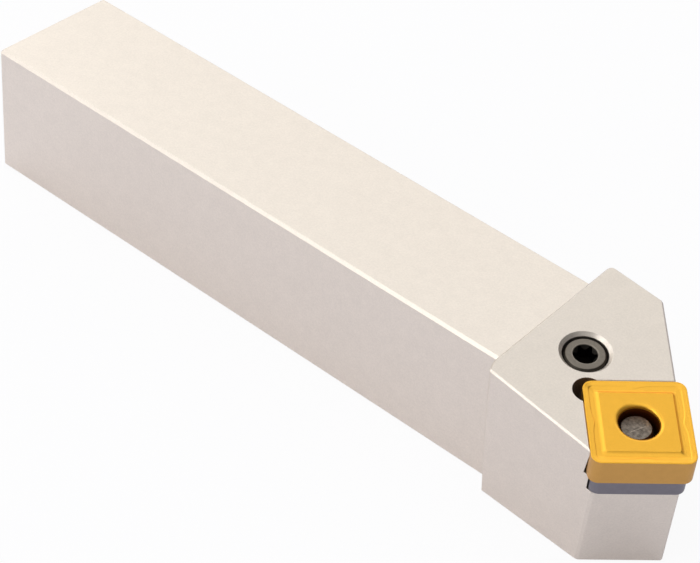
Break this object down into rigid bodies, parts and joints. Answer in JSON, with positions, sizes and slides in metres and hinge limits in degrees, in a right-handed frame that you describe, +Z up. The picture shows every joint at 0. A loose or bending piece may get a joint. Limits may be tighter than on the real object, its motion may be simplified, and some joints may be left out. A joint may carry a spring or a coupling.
{
  "type": "turning tool holder",
  "caption": "Left-hand external turning tool holder with a square shank, a tilted pocket, a lever-clamped square insert on a shim, and the lever's screw.",
  "frame": {"origin": "middle of the shank's width, on its base, in the plane of the tail face", "axes": "+X along the shank from the tail to the cutting end, +Z up from the base, -Y towards the cutting side"},
  "size_m": [0.1498, 0.0323, 0.0305],
  "materials": {
    "holder_steel": "satin, nickel plated",
    "insert_coating": "titanium nitride coated carbide, satin gold",
    "shim_carbide": "ground carbide, dark grey",
    "sleeve_steel": "plain spring steel",
    "lever_steel": "hardened, dark grey",
    "screw_black": "black phosphated, satin"
  },
  "bodies": {
    "holder": {"holder_body": "holder_steel", "insert": "insert_coating", "shim": "shim_carbide", "shim_sleeve": "sleeve_steel"},
    "screw": {"lever_screw": "screw_black"},
    "lever": {"lever": "lever_steel"}
  },
  "joints": [
    {"name": "screw_travel", "type": "slide", "parent": "holder", "child": "screw", "axis": [0.0984, -0.0984, 0.9903], "range_m": [0, 0.00087]},
    {"name": "lever_rock", "type": "hinge", "parent": "holder", "child": "lever", "pos_m": [0.13802, -0.00802, 0.01299], "axis": [0.3286, 0.9425, 0.061], "range_deg": [0, 4]}
  ],
  "couplings": [
    {"joint": "lever_rock", "follows": "screw_travel", "rad_per_m": 79.69}
  ]
}
